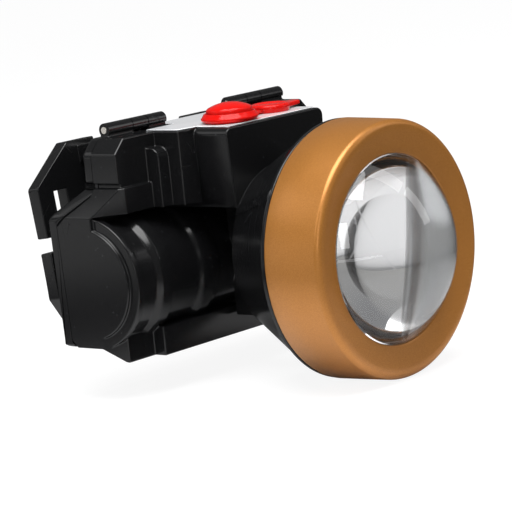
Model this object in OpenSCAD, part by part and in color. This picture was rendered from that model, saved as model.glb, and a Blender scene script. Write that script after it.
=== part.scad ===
// Miner's cap lamp: round lens head in front of a sideways battery tube, with a push-button and a
// charging port on top, and a strap bracket that tilts on two hinge pins behind the housing.
// Millimetres. X runs across the lamp, Y from front to back, Z up. The pieces are drawn about the
// lens axis, with y = 0 at the bezel's front rim, and placed() then sets the lamp on its base.

/* [Bezel and lens] */
// Outer radius of the bezel ring at its rear edge
bezel_r = 30.8; // [30.3:0.1:33]
// Depth of the bezel ring from front rim to rear edge
bezel_depth = 15.5; // [14:0.5:18]
// Wall of the bezel's skirt
bezel_wall = 2.0; // [1.6:0.1:2.4]
// Radius that the bezel's side loses by its front edge
bezel_taper = 0.4; // [0:0.1:1]
// Radius of the rounded front edge of the bezel
bezel_edge_r = 1.8; // [1:0.1:2.4]
// How far the bezel's face falls back towards the lens
bezel_dish = 1.2; // [0.6:0.1:2]
// Thickness of the lip that holds the lens
bezel_lip = 1.6; // [1.2:0.1:2]
// Radius of the opening that the lens bulges through
lens_opening_r = 22.3; // [20:0.1:23]
// Height of the lens dome above the opening
lens_rise = 11; // [8:0.5:12]
// Gap between the lens dome and the bezel's lip
lens_gap = 0.2; // [0.1:0.05:0.4]
// Thickness of the lens's flange
lens_flange_t = 2.0; // [1.5:0.1:2.5]
// Thickness of the flat seal behind the lens
lens_seal_t = 1.3; // [1:0.1:1.6]

/* [Head bowl] */
// Thickness of the thin flange that shows behind the bezel
head_flange_t = 0.9; // [0.6:0.1:1.5]
// Radius of the bowl where it leaves the flange
bowl_r = 30.4; // [30:0.1:30.7]
// Radius of the bowl at its back
bowl_back_r = 20.4; // [20:0.1:22]
// Length of the bowl behind the flange
bowl_length = 17.5; // [16:0.5:20]
// Wall of the bowl
bowl_wall = 2.2; // [1.8:0.1:2.6]
// Thickness of the bowl's back wall
bowl_floor_t = 2.0; // [1.6:0.1:2.4]
// Width of the narrow neck between the bowl and the battery tube
neck_w = 10; // [8:1:16]

/* [Light unit] */
// Inner radius of the reflector at its front
reflector_r = 24.9; // [23:0.1:25]
// Radius of the opening at the reflector's throat
reflector_throat_r = 4.6; // [4:0.1:5.5]
// Wall of the reflector
reflector_wall = 1.2; // [1:0.1:1.6]
// Radius of the round circuit board that carries the lamp chip
led_board_r = 10; // [9:0.5:11]
// Thickness of the round circuit board
led_board_t = 1.6; // [1.2:0.1:2]
// Radius of the aluminium heat sink
heat_sink_r = 14; // [12:0.5:14.2]
// Thickness of the heat sink
heat_sink_t = 4.4; // [3.5:0.1:5]
// Distance of the board screws from the lens axis
led_screw_at = 7.6; // [7:0.1:8]

/* [Housing] */
// Distance from each end of the battery cell to the body's end face
end_room = 9.5; // [8.5:0.1:12]
// Height of the top surface above the lens axis
top_z = 31.25; // [30:0.25:33]
// Height of the body's base below the lens axis
base_depth = 21.3; // [20:0.1:23]
// Width of the front block over the neck
block_w = 34; // [33:0.5:36]
// Distance from the bezel's front rim to the front wall of the side wings
wall_y = 52.9; // [52:0.1:54]
// Width of the wings' top between the bevels
wing_top_w = 66; // [62:0.5:68]
// Width of the bevel along each wing's upper edge
wing_bevel = 3.5; // [2.5:0.1:4.5]
// Depth of the wings from front wall to back
wing_depth = 10.9; // [10:0.1:12]
// Height of the wings' lower edge above the lens axis
wing_floor_z = 20.8; // [19:0.1:22]
// Height of the front block's underside above the lens axis
block_floor_z = 12.2; // [11.5:0.1:13]
// Height of the ledge groove under the wings
ledge_h = 1.0; // [0.6:0.1:1.4]
// Depth of the ledge groove
ledge_in = 0.8; // [0.4:0.1:1.2]
// Height of the end faces' upper edge above the lens axis
end_top_z = 13.6; // [12:0.1:15]
// Wall of the housing
housing_wall = 2.2; // [1.8:0.1:2.4]
// Thickness of the rear cover
cover_t = 2.9; // [2.4:0.1:3.2]
// Thickness of the seal in the joint of the rear cover
cover_seal_t = 0.8; // [0.6:0.1:1]

/* [Battery tube] */
// Radius of the battery tube between its rings
tube_r = 15; // [14.8:0.1:15.6]
// Distance from the bezel's front rim to the tube's centre
tube_y = 61.5; // [61:0.1:62]
// Height of the tube's centre, below the lens axis when negative
tube_z = -2.3; // [-2.6:0.1:-2]
// How far each raised ring stands proud of the tube
ring_proud = 0.85; // [0.6:0.05:1.1]
// Width of each raised ring
ring_w = 5.5; // [4:0.5:6]
// Length of the taper on each ring's outer side
ring_taper = 3; // [2:0.1:3.8]
// Distance from ring to ring
ring_pitch = 15; // [13:0.5:17]
// Radius of the tube's round end faces
tube_end_r = 13.3; // [13:0.1:14.4]
// Radius of the battery cell
cell_r = 9.2; // [9:0.05:9.4]
// Length of the battery cell without its raised contact
cell_length = 65; // [64:0.5:66]
// Gap between the battery cell and its cradle ribs
cell_gap = 0.2; // [0.1:0.05:0.4]

/* [Hinge and strap bracket] */
// Radius of the hinge barrel
barrel_r = 1.65; // [1.6:0.05:1.8]
// Radius of each steel hinge pin
hinge_pin_r = 0.8; // [0.7:0.05:0.9]
// Radial running gap between the pin and the bracket's knuckle
pin_gap = 0.05; // [0.02:0.01:0.1]
// Height of the hinge axis above the top surface
hinge_rise = 1.75; // [1.7:0.05:1.9]
// Distance from the wings' front wall to the hinge axis
hinge_back = 6.6; // [6.2:0.1:6.8]
// Distance from the middle to the inner end of each barrel
barrel_start = 12; // [11:0.5:13]
// Distance from the middle to the outer end of each barrel
barrel_end = 32.3; // [31.5:0.1:32.6]
// Distance from the middle to the bracket's knuckle
knuckle_start = 18.5; // [17.5:0.5:19.5]
// Width of the bracket's knuckle
knuckle_w = 5.2; // [4.8:0.1:6]
// Gap between neighbouring knuckles
knuckle_gap = 0.25; // [0.15:0.05:0.3]
// Width of the strap plate
plate_w = 79; // [76:1:84]
// Height of the strap plate
plate_h = 46; // [44:0.5:48]
// Thickness of the strap plate
plate_t = 3.5; // [2.8:0.1:4]
// Lean of the strap plate, its bottom nearer the housing
plate_lean = 6.6; // [5:0.1:7]
// Width of each strap slot
slot_w = 4.3; // [4.1:0.1:4.8]
// Height of each strap slot
slot_h = 24.3; // [23:0.5:27]
// Width of the bar outside each strap slot
outer_bar_w = 5.2; // [4.5:0.1:5.6]
// Height of the gap through each outer bar, where the strap slips in
bar_gap_h = 3.5; // [3:0.1:4]

/* [Button and charging port] */
// Distance of the button from the middle
button_x = 8.2; // [8.1:0.1:8.8]
// Distance from the front block's face to the button's centre
button_back = 7; // [6.8:0.1:7.6]
// Distance of the charging port from the middle
port_x = 7.8; // [7.8:0.1:8.4]
// Distance from the front block's face to the charging port's centre
port_back = 7.8; // [7.5:0.1:8.6]
// Radius of the button's collar
collar_r = 7; // [6.7:0.05:7.1]
// Height of the button's collar
collar_h = 2.3; // [2.1:0.1:2.6]
// Radius of the button's cap
cap_r = 5.6; // [5.2:0.05:5.8]
// Height of the cap's dome above the collar
cap_rise = 2.4; // [2:0.1:2.8]
// Travel of the button
button_travel = 1.2; // [0.8:0.1:1.4]
// Radius of the port cover's disc
port_cover_r = 4.8; // [4.7:0.05:4.9]
// Thickness of the port cover's disc
port_cover_t = 2; // [1.8:0.1:2.4]
// Length of the port cover's pull tab
port_tab_length = 5.4; // [4:0.1:6]
// Radius of the charging socket's bore
socket_bore_r = 2.85; // [2.7:0.05:2.95]
// Thickness of the label plate on the top surface
label_t = 0.3; // [0.2:0.05:0.4]

/* [Hidden] */
$fn = 96;

fit_gap = 0.2;          // gap between pieces that slide together once, at assembly
far = 200;              // longer than the lamp, for cutting blocks
bite = 0.5;             // how far a joined shape runs into its neighbour

// Head, along the lens axis
lens_back_y = bezel_dish + bezel_lip + lens_flange_t;
rim_y = lens_back_y + lens_seal_t;
rim_r = bezel_r - bezel_wall - fit_gap;
rim_bore_r = rim_r - bowl_wall;
lens_base_r = lens_opening_r - lens_gap;
lens_sphere_r = (lens_base_r * lens_base_r + lens_rise * lens_rise) / (2 * lens_rise);
lens_apex_y = bezel_dish - lens_rise;
lens_centre_y = lens_apex_y + lens_sphere_r;
head_flange_y = bezel_depth + 0.1;
bowl_y = head_flange_y + head_flange_t;
bowl_back_y = bowl_y + bowl_length;
bowl_floor_y = bowl_back_y - bowl_floor_t;
function bowl_r_at(y) = bowl_r + (bowl_back_r - bowl_r) * (y - bowl_y) / bowl_length;
rib_angle = 33.5;         // of the bowl's rib above the horizontal
rib_w = 2.35;
rib_proud = 0.6;
function lens_r_at(y) = sqrt(pow(lens_sphere_r, 2) - pow(lens_centre_y - y, 2));

// Light unit, from the bowl's floor forwards
reflector_flange_t = 1.2;
reflector_ledge_y = rim_y + reflector_flange_t + 0.2;
reflector_ledge_r = rim_bore_r - 1.4;
inner_cone_y = bowl_y + bowl_length * (bowl_r - reflector_ledge_r - 1.15 * bowl_wall)
    / (bowl_r - bowl_back_r);
heat_sink_y = bowl_floor_y - heat_sink_t;
led_board_y = heat_sink_y - led_board_t;
led_base_t = 0.8;
led_base_w = 5;
led_dome_r = 2.2;
throat_y = led_board_y - 2.4;
mouth_y = lens_back_y + 0.1;
lead_hole_r = 1.8;
lead_hole_z = heat_sink_r + lead_hole_r + 0.6;

// Housing
end_half = cell_length / 2 + end_room;
wing_top_half = wing_top_w / 2;
wing_half = wing_top_half + wing_bevel;
wing_bevel_z = top_z - wing_bevel;
ledge_z = wing_floor_z - ledge_h;
ledge_half = wing_half - ledge_in;
wing_back_y = wall_y + wing_depth;
base_z = -base_depth;
end_bottom_z = base_z + 3.7;
lip_back_y = wall_y + 0.6;
base_half = end_half - 3;
back_top_y = wing_back_y + 8.2;
rear_lean = 1.9;
rear_edge = 1.3;          // chamfer along the rear bottom edge
seal_in = 0.6;            // from the housing's outer edge to the seal
cover_gap = 0.15;         // seen in the joint of the rear cover
cheek_half = block_w / 2 + 1.1;  // the front block widens towards its top by its two cheeks
cheek_round = 2;                 // radius of the cheeks' top edges
label_half = cheek_half - cheek_round;
step_half = block_w / 2 + 5.5;
step_y = wall_y - 7.7;
notch_y = step_y - 1;
cheek_back_y = notch_y + 0.2;
skirt_half = 30;
skirt_y = wall_y - 3.4;
skirt_top_z = base_z + 7.1;
corner_y = wall_y + 5.1;
corner_slope = (corner_y - wall_y) / (end_half - wing_half);
shoulder_y = wall_y - 1;
shoulder_half = wing_half - (wall_y - shoulder_y) / corner_slope;
boss_w = 3.5;
boss_proud = 3.9;
boss_round = 2.5;         // radius of the post's rounded top
function back_y(z) = back_top_y - (end_top_z - z) * tan(rear_lean);

// Battery tube
middle_in = 0.4;
middle_half = 11;
end_face_t = 1;
function ring_x(i) = end_half - 8 - i * ring_pitch;

// Battery bay
bay_r = cell_r + 1.4;
bay_y = back_y(tube_z) - cover_t - cell_gap - cell_r;
bay_rib_w = 3;
bay_rib_in = 14.5;         // from the cell's ends
bay_rib_at = [bay_rib_in - bay_rib_w - cell_length / 2, cell_length / 2 - bay_rib_in];
nub_h = 1.2;
nub_r = 2.8;
contact_t = 0.4;
contact_w = 10;
contact_down = 6;
tab_w = 3;
tab_top_z = 11.9;
channel_top_z = 12.6;
channel_front_y = -1.6;
channel_back_y = 4.4;
spring_turns = 4;
spring_wire_r = 0.35;
spring_r = 6.5;
spring_narrowing = 3;
cell_x = -cell_length / 2 - 0.3;
lead_run_z = tube_z + cell_r + 1.55;
cell_end_x = cell_x + cell_length;
bay_right_x = cell_end_x + nub_h + contact_t;
bay_left_x = -end_half + 3.6;

// Hinge and strap bracket
hinge_y = wall_y + hinge_back;
hinge_z = top_z + hinge_rise;
barrel_clear = 0.3;
foot_half = 1.3;
arm_gap = 0.3;
plate_top_z = 29.8;
plate_bottom_z = plate_top_z - plate_h;
plate_front_y = 74.1;                  // front face of the plate at the height of the lens axis
corner_in = 12.5;
corner_down = 9.6;
lower_corner_in = 5.5;
corner_round = 1.4;
notch_half = knuckle_start - 1;
notch_z = plate_top_z - 3.3;
arm_end_y = plate_front_y + (plate_top_z - 6) * tan(plate_lean) + 0.9;
slot_top_z = plate_top_z - 11;
bar_gap_z = 4.6;

// Controls
button_y = bowl_back_y + button_back;
port_y = bowl_back_y + port_back;
collar_z = top_z + label_t;
label_in = 0.9;            // from the front block's face to the label
label_round = 0.8;         // radius of the label's front corners
label_front_y = bowl_back_y + label_in;
cap_gap = 0.15;
collar_brim_z = 0.95;     // height of the collar's widest edge above the label
cap_skirt_z = collar_z + button_travel + 0.2;
dome_z = collar_z + collar_h + 0.2;
stem_r = 2.4;
stem_gap = 0.2;
switch_w = 6;
switch_h = 3.5;
plunger_r = 1.65;
plunger_gap = 0.1;
board_t = 1.6;
board_z = top_z - 9.75;
board_w = block_w - 2 * housing_wall - 1;
board_front_y = bowl_back_y + 3;
board_depth = 21;
board_top_z = board_z + board_t;
switch_top_z = board_top_z + switch_h;
plunger_top_z = switch_top_z + button_travel + 0.2;
socket_r = 4;
socket_base_t = 1.1;
socket_mouth_r = socket_bore_r + 0.5;
socket_mouth_depth = 1.65;
plug_r = socket_mouth_r - 0.35;
plug_depth = 1.5;
driver_size = [5, 4, 2.4];        // lamp driver chip under the board
driver_at = [-2.2, board_depth - 9.5];
coil_r = 2.6;                     // round coil on the board
coil_h = 2.6;
coil_at = [-6, board_depth - 6];
charger_size = [3.2, 5, 1.4];     // charger chip on the board
charger_at = [4, board_depth - 8.4];
resistor_size = [1.6, 2.4, 0.9];  // three resistors under the board
resistor_at = [-6, 7.6];
resistor_pitch = 3;
port_tab_z = 0.5;          // height of the pull tab's underside above the label
tether_x = port_x - port_cover_r - 0.6;
tether_z = collar_z + 0.75;
tether_r = 0.4;
tether_w = 3;
anchor_r = 1.4;
anchor_h = 1.05;
anchor_x = tether_x - 2;
cavity_half = block_w / 2 - housing_wall;
cavity_top_z = top_z - housing_wall;
cavity_floor_z = block_floor_z + housing_wall;
neck_floor_z = 4 - bowl_back_r;
anchor_stem_r = 0.65;

// Screws
cover_screw_r = 1.25;
cover_screw_head_r = 2.3;
cover_screw_head_t = 1.3;
cover_screw_length = 11;
cover_screw_at = [[wing_top_half - 3.5, top_z - 6], [end_half - 8, end_bottom_z + 2.9]];
board_screw_r = 0.95;
board_screw_in = 2.4;      // from the board's edges
board_screw_at = [[board_screw_in - board_w / 2, board_depth - board_screw_in],
    [board_w / 2 - board_screw_in, board_depth - board_screw_in], [0, board_screw_in]];
post_r = 1.8;
wing_hollow_end = cover_screw_at[0][0] - 3.2;

// Leads, as routes through the middles of the hollows, in the lamp's own millimetres
lead_r = 0.7;
led_lead_routes = [for (s = [-1, 1]) [
    [s * 3.5, led_board_y - 0.05, led_board_r - 1.6],
    [s * 3.5, led_board_y - 0.8, led_board_r - 1.6],
    [s * 2.8, led_board_y - 1.5, led_board_r + 1.2],
    [s * 1.6, led_board_y - 0.4, lead_hole_z - 2.2],
    [s * 0.9, heat_sink_y + 0.4, lead_hole_z - 0.3],
    [s * 0.85, bowl_floor_y - 1, lead_hole_z],
    [s * 0.85, bowl_back_y + 1.4, lead_hole_z],
    [s * 1.2, board_front_y + 1, lead_hole_z + 0.8],
    [s * 2.6, board_front_y + 4, board_z - 2.3],
    [s * 3, board_front_y + 5.5, board_z - 1],
    [s * 3, board_front_y + 5.5, board_z - 0.05]]];
battery_lead_routes = [for (s = [-1, 1]) [
    [s > 0 ? bay_right_x - contact_t - 0.05 : bay_left_x + contact_t + 0.05, bay_y + 0.3, lead_run_z],
    [s * 30, bay_y + 0.3, lead_run_z],
    [s * 18, bay_y + 0.3, lead_run_z],
    [s * 14, bay_y + 1.4, lead_run_z + 0.3],
    [s * 11, bay_y + 3.6, lead_run_z + 1.6],
    [s * 9.2, bay_y + 4.6, lead_run_z + 4.5],
    [s * 8.4, bay_y + 1.6, lead_run_z + 8],
    [s * 8, bay_y - 0.6, board_z - 2.6],
    [s * 8, bay_y - 2, board_z - 1],
    [s * 8, bay_y - 2, board_z - 0.05]]];

// The lamp stands with its lowest point at z = 0 and its middle over the origin
rear_y = plate_front_y + (plate_top_z + 0.6) * tan(plate_lean) + plate_t / cos(plate_lean);
middle_y = (lens_apex_y + rear_y) / 2;

module placed() translate([0, -middle_y, bezel_r]) children();
module pair() { children(); mirror([1, 0, 0]) children(); }
// Turns a shape about the lens axis: the polygon's x is the radius and its y runs backwards
module turned() rotate([-90, 0, 0]) mirror([0, 1, 0]) rotate_extrude() children();
// Extrudes a (y, z) outline across the lamp, between two places along X
module across(x0, x1) translate([x0, 0, 0]) rotate([90, 0, 90]) linear_extrude(x1 - x0) children();
// Extrudes an (x, z) outline from front to back
module backwards(y0, y1) translate([0, y1, 0]) rotate([90, 0, 0]) linear_extrude(y1 - y0) children();
// Cylinders along X, along Y and along Z
module rod_x(x0, x1, r) translate([x0, 0, 0]) rotate([0, 90, 0]) cylinder(r = r, h = x1 - x0);
module rod_y(y0, y1, r) translate([0, y0, 0]) rotate([-90, 0, 0]) cylinder(r = r, h = y1 - y0);
module rod_z(z0, z1, r) translate([0, 0, z0]) cylinder(r = r, h = z1 - z0);
// Extrudes an (x, y) outline upwards
module level(z0, z1) translate([0, 0, z0]) linear_extrude(z1 - z0) children();
function arc(cx, cy, r, a0, a1, n) = [for (i = [0 : n]) let (a = a0 + (a1 - a0) * i / n)
    [cx + r * cos(a), cy + r * sin(a)]];

function unit(v) = v / norm(v);
// A convex outline, listed anticlockwise, with each corner rounded to radius r
function rounded(p, r, n = 4) = [for (i = [0 : len(p) - 1])
    let (b = p[i], u = unit(p[(i + len(p) - 1) % len(p)] - b), v = unit(p[(i + 1) % len(p)] - b),
         half = acos(u * v) / 2, m = b + unit(u + v) * r / sin(half),
         s = b + u * r / tan(half) - m, a = atan2(s[1], s[0]))
    for (k = [0 : n]) m + r * [cos(a + (180 - 2 * half) * k / n), sin(a + (180 - 2 * half) * k / n)]];

// ---- Head ----

module bezel_ring() color("#B98A4E") placed() turned() polygon(concat(
    [[lens_opening_r, bezel_dish],
     [bezel_r - bezel_taper - 2.2 * bezel_edge_r, 0]],
    arc(bezel_r - bezel_taper - bezel_edge_r, bezel_edge_r, bezel_edge_r, -75, 0, 6),
    [[bezel_r, bezel_depth],
     [bezel_r - bezel_wall, bezel_depth],
     [bezel_r - bezel_wall, bezel_dish + bezel_lip],
     [lens_r_at(bezel_dish + bezel_lip) + lens_gap, bezel_dish + bezel_lip]]));

module lens() color("#DDE6EA") placed() {
    intersection() {
        translate([0, lens_centre_y, 0]) sphere(r = lens_sphere_r);
        rod_y(lens_apex_y - 1, lens_back_y, lens_r_at(bezel_dish + bezel_lip));
    }
    rod_y(bezel_dish + bezel_lip, lens_back_y, rim_r);
}

module lens_seal() color("#303234") placed() difference() {
    rod_y(lens_back_y, rim_y, rim_r);
    rod_y(lens_back_y - 1, rim_y + 1, rim_bore_r);
}

// Radius of the reflector's bright face, a parabola from its throat to its front
function reflector_r_at(y) = sqrt(pow(reflector_throat_r, 2)
    + (pow(reflector_r, 2) - pow(reflector_throat_r, 2)) * (throat_y - y) / (throat_y - mouth_y));

module reflector() color("#D2D4D6") placed() {
    steps = 14;
    flange_y = rim_y + 0.2;
    ys = [for (i = [0 : steps]) mouth_y + (throat_y - mouth_y) * (1 - pow(1 - i / steps, 2))];
    turned() polygon(concat(
        [for (y = ys) [reflector_r_at(y), y]],
        [for (i = [0 : steps]) [reflector_r_at(ys[steps - i]) + reflector_wall, ys[steps - i]]]));
    turned() polygon([
        [reflector_r_at(flange_y) + 0.6, flange_y], [rim_bore_r - 0.1, flange_y],
        [rim_bore_r - 0.1, reflector_ledge_y], [reflector_r_at(reflector_ledge_y) + 0.6, reflector_ledge_y]]);
}

module led_centring_ring() color("#ECEBE4") placed() difference() {
    rod_y(throat_y, led_board_y, led_screw_at - 1.9);
    rod_y(throat_y - 1, led_board_y + 1, led_base_w * 0.72);
}

module led_emitter() color("#E8DC7A") placed() {
    translate([-led_base_w / 2, led_board_y - led_base_t, -led_base_w / 2])
        cube([led_base_w, led_base_t, led_base_w]);
    intersection() {
        translate([0, led_board_y - led_base_t, 0]) sphere(r = led_dome_r);
        rod_y(led_board_y - led_base_t - led_dome_r - 1, led_board_y - led_base_t, led_dome_r + 1);
    }
}

module led_board() color("#F2F2EE") placed() difference() {
    rod_y(led_board_y, heat_sink_y, led_board_r);
    for (x = [-led_screw_at, led_screw_at])
        translate([x, 0, 0]) rod_y(led_board_y - 1, heat_sink_y + 1, 1.15);
}

module led_screws() color("#9A9DA0") placed() for (x = [-led_screw_at, led_screw_at])
    translate([x, 0, 0]) {
        rod_y(led_board_y - 1.1, led_board_y, 1.8);
        rod_y(led_board_y, heat_sink_y + 3, 1);
    }

module heat_sink() color("#B4B7BA") placed() difference() {
    rod_y(heat_sink_y, bowl_floor_y, heat_sink_r);
    for (x = [-led_screw_at, led_screw_at])
        translate([x, 0, 0]) rod_y(heat_sink_y - 1, heat_sink_y + 3.4, 1.05);
    translate([0, 0, lead_hole_z]) rod_y(heat_sink_y - 1, bowl_floor_y + 1, lead_hole_r);
}

// ---- Housing ----

// Behind the rear face, or behind a face moved forward by t
module behind(t) across(-far, far) polygon([
    [wing_back_y - t, top_z + 1], [wing_back_y - t, ledge_z - 0.6 * t],
    [back_top_y - t, end_top_z - 0.6 * t],
    [back_y(end_bottom_z + rear_edge) - t, end_bottom_z + rear_edge],
    [back_y(end_bottom_z + rear_edge) - rear_edge - t, end_bottom_z],
    [back_y(end_bottom_z + rear_edge) - rear_edge - t, base_z - 1],
    [far, base_z - 1], [far, top_z + 1]]);

// Front view of the housing's outer edge, taken in by i
module front_outline(i) offset(delta = -i) polygon([
    [-wing_top_half, top_z], [wing_top_half, top_z], [wing_half, wing_bevel_z],
    [wing_half, ledge_z], [end_half, end_top_z], [end_half, end_bottom_z],
    [-end_half, end_bottom_z], [-end_half, end_top_z], [-wing_half, ledge_z],
    [-wing_half, wing_bevel_z]]);

// Upper part: the stepped front block and the two wings
module upper_body() difference() {
    union() {
        block_and_wings();
        pair() backwards(bowl_back_y, cheek_back_y) polygon([
            [block_w / 2 - 1, block_floor_z], [block_w / 2, block_floor_z],
            [cheek_half, top_z - cheek_round], [cheek_half, top_z], [block_w / 2 - 1, top_z]]);
    }
    // the top edges along the cheeks are rounded
    pair() backwards(bowl_back_y - 1, cheek_back_y) polygon(concat(
        arc(label_half, top_z - cheek_round, cheek_round, 90, 0, 6),
        [[cheek_half + 1, top_z - cheek_round], [cheek_half + 1, top_z + 1], [label_half, top_z + 1]]));
}

module block_and_wings() intersection() {
    backwards(bowl_back_y - 1, back_top_y) polygon([
        [-wing_top_half, top_z], [wing_top_half, top_z], [wing_half, wing_bevel_z],
        [wing_half, wing_floor_z], [ledge_half, wing_floor_z], [ledge_half, ledge_z - 1],
        [step_half, ledge_z - 1], [step_half, end_top_z], [block_w / 2, end_top_z],
        [block_w / 2, block_floor_z], [-block_w / 2, block_floor_z], [-block_w / 2, end_top_z],
        [-step_half, end_top_z], [-step_half, ledge_z - 1], [-ledge_half, ledge_z - 1],
        [-ledge_half, wing_floor_z],
        [-wing_half, wing_floor_z], [-wing_half, wing_bevel_z]]);
    level(block_floor_z - 1, top_z + 1) polygon([
        [-block_w / 2, bowl_back_y], [block_w / 2, bowl_back_y], [block_w / 2, notch_y],
        [step_half, step_y], [step_half, wall_y], [far, wall_y], [far, far],
        [-far, far], [-far, wall_y], [-step_half, wall_y], [-step_half, step_y],
        [-block_w / 2, notch_y]]);
}

// Lower part: the slanted shoulders, the end faces behind the tube, and the skirt under it
module lower_body() intersection() {
    backwards(skirt_y, far) polygon([
        [-wing_half, ledge_z], [wing_half, ledge_z], [end_half, end_top_z],
        [end_half, end_bottom_z], [base_half, base_z], [-base_half, base_z],
        [-end_half, end_bottom_z], [-end_half, end_top_z]]);
    union() {
        level(end_top_z, ledge_z + 1) polygon([
            [-shoulder_half, shoulder_y], [shoulder_half, shoulder_y], [end_half, corner_y],
            [end_half, far], [-end_half, far], [-end_half, corner_y]]);
        level(base_z, end_top_z + bite) translate([-end_half, corner_y]) square([2 * end_half, far]);
        level(base_z, skirt_top_z + 2) polygon([
            [-base_half, wall_y], [base_half, wall_y], [end_half, corner_y], [end_half, far],
            [-end_half, far], [-end_half, corner_y]]);
        level(base_z, skirt_top_z) translate([-skirt_half, skirt_y]) square([2 * skirt_half, far]);
    }
}

// One half of the tube: a smaller middle, two raised rings, an end band and a round end face
module half_tube() translate([0, tube_y, tube_z]) {
    rod_x(0, end_half - end_face_t, tube_r - middle_in);
    rod_x(middle_half, end_half - end_face_t, tube_r);
    rod_x(end_half - 3, end_half - end_face_t, tube_r + ring_proud);
    rod_x(end_half - end_face_t - bite, end_half, tube_end_r);
    for (i = [0, 1]) {
        rod_x(ring_x(i) - ring_w, ring_x(i) - ring_taper, tube_r + ring_proud);
        translate([ring_x(i) - ring_taper, 0, 0]) rotate([0, 90, 0])
            cylinder(r1 = tube_r + ring_proud, r2 = tube_r, h = ring_taper);
    }
}

module outer_body() difference() {
    union() {
        upper_body();
        lower_body();
        pair() half_tube();
    }
    behind(0);
    // the underside rises behind the skirt's lip
    across(-far, far) polygon([
        [lip_back_y, base_z], [corner_y + 0.3, end_bottom_z], [far, end_bottom_z],
        [far, base_z - 1], [lip_back_y, base_z - 1]]);
}

// Square post in the corner between the step and the wall, with a rounded top
module wall_boss() across(step_half - bite, step_half + boss_w) polygon(concat(
    [[wall_y + bite, end_top_z], [wall_y - boss_proud, end_top_z]],
    arc(wall_y - boss_proud + boss_round, wing_bevel_z - boss_round, boss_round, 180, 90, 6),
    [[wall_y + bite, wing_bevel_z]]));

module bowl() turned() polygon([
    [rim_bore_r, rim_y], [rim_r, rim_y], [rim_r, head_flange_y], [bezel_r - 0.1, head_flange_y],
    [bezel_r - 0.1, bowl_y], [bowl_r, bowl_y], [bowl_back_r, bowl_back_y], [0, bowl_back_y],
    [0, bowl_floor_y], [bowl_r_at(bowl_floor_y) - 1.15 * bowl_wall, bowl_floor_y],
    [reflector_ledge_r, inner_cone_y], [reflector_ledge_r, reflector_ledge_y],
    [rim_bore_r, reflector_ledge_y]]);

// Rib along the bowl from the corner of the front block to the flange
module bowl_rib() rotate([0, -rib_angle, 0]) level(-rib_w / 2, rib_w / 2) polygon([
    [bowl_back_r - bite, bowl_back_y], [bowl_back_r + rib_proud, bowl_back_y],
    [bowl_r + 0.5, bowl_y], [bowl_r - bite, bowl_y - 0.4]]);

module knuckles(x0, x1, r) translate([0, hinge_y, hinge_z]) rod_x(x0, x1, r);

module seal_track() intersection() {
    difference() {
        behind(cover_t + cover_seal_t);
        behind(cover_t);
    }
    backwards(wall_y, far) difference() {
        front_outline(seal_in);
        front_outline(seal_in + 1);
    }
}

module cover_screw_places() for (s = cover_screw_at) pair() translate([s[0], 0, s[1]]) children();
function cover_y(z) = z > ledge_z ? wing_back_y : back_y(z);

module front_housing() color("#1B1C1E") placed() {
    difference() {
        union() {
            difference() {
                outer_body();
                behind(cover_t + cover_gap);
            }
            bowl();
            pair() bowl_rib();
            pair() wall_boss();
            translate([-neck_w / 2, bowl_back_y - bite, neck_floor_z])
                cube([neck_w, tube_y - tube_r - bowl_back_y + 2, block_floor_z - neck_floor_z + bite]);
            pair() fixed_knuckle(barrel_start, knuckle_start - knuckle_gap);
            pair() fixed_knuckle(knuckle_start + knuckle_w + knuckle_gap, barrel_end);
        }
        seal_track();
        hollows();
        // holes for the leads, the button's stem, the charging socket and the anchor
        translate([0, 0, lead_hole_z])
            rod_y(bowl_floor_y - 1, bowl_back_y + housing_wall + 1, lead_hole_r);
        translate([-button_x, button_y, 0]) rod_z(cavity_top_z - 1, top_z + 1, stem_r + stem_gap);
        translate([port_x, port_y, 0]) rod_z(cavity_top_z - 1, top_z + 1, socket_r + 0.1);
        translate([anchor_x, port_y, 0]) rod_z(top_z - 1.4, top_z + 1, anchor_stem_r + 0.05);
        // hinge bores, and room for the bracket's knuckles to turn
        pair() knuckles(barrel_start - 1, barrel_end + 1, hinge_pin_r + 0.01);
        pair() knuckles(knuckle_start - knuckle_gap, knuckle_start + knuckle_w + knuckle_gap,
                        barrel_r + barrel_clear);
        cover_screw_places() rod_y(wall_y + 3.4, far, cover_screw_r + 0.02);
    }
    battery_ribs();
    board_posts();
}

module fixed_knuckle(x0, x1) {
    knuckles(x0, x1, barrel_r);
    translate([x0, hinge_y - foot_half, top_z - bite]) cube([x1 - x0, 2 * foot_half, hinge_rise + bite]);
}

// Battery bay with its lead channel, and the hollows of the front block and the wings
module hollows() {
    translate([0, bay_y, tube_z]) {
        rod_x(bay_left_x, bay_right_x, bay_r);
        translate([bay_left_x, 0, -bay_r]) cube([bay_right_x - bay_left_x, far, 2 * bay_r]);
        translate([bay_left_x, channel_front_y, 0])
            cube([bay_right_x - bay_left_x, channel_back_y - channel_front_y, channel_top_z]);
    }
    translate([-cavity_half, bowl_back_y + housing_wall, cavity_floor_z])
        cube([2 * cavity_half, far, cavity_top_z - cavity_floor_z]);
    translate([-cavity_half, corner_y + housing_wall, tube_z])
        cube([2 * cavity_half, far, cavity_floor_z - tube_z + 1]);
    pair() translate([cavity_half - bite, wall_y + housing_wall, end_top_z + housing_wall])
        cube([wing_hollow_end - cavity_half + bite, far, cavity_top_z - end_top_z - housing_wall]);
}

// Ribs that cradle the battery cell from below and in front
module battery_ribs() translate([0, bay_y, tube_z]) for (x = bay_rib_at) difference() {
    rod_x(x, x + bay_rib_w, bay_r + bite);
    rod_x(x - 1, x + bay_rib_w + 1, cell_r + cell_gap);
    translate([x - 1, 0, -far]) cube([bay_rib_w + 2, far, 2 * far]);
    translate([x - 1, -bay_r - 1, 2]) cube([bay_rib_w + 2, far, far]);
}

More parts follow.
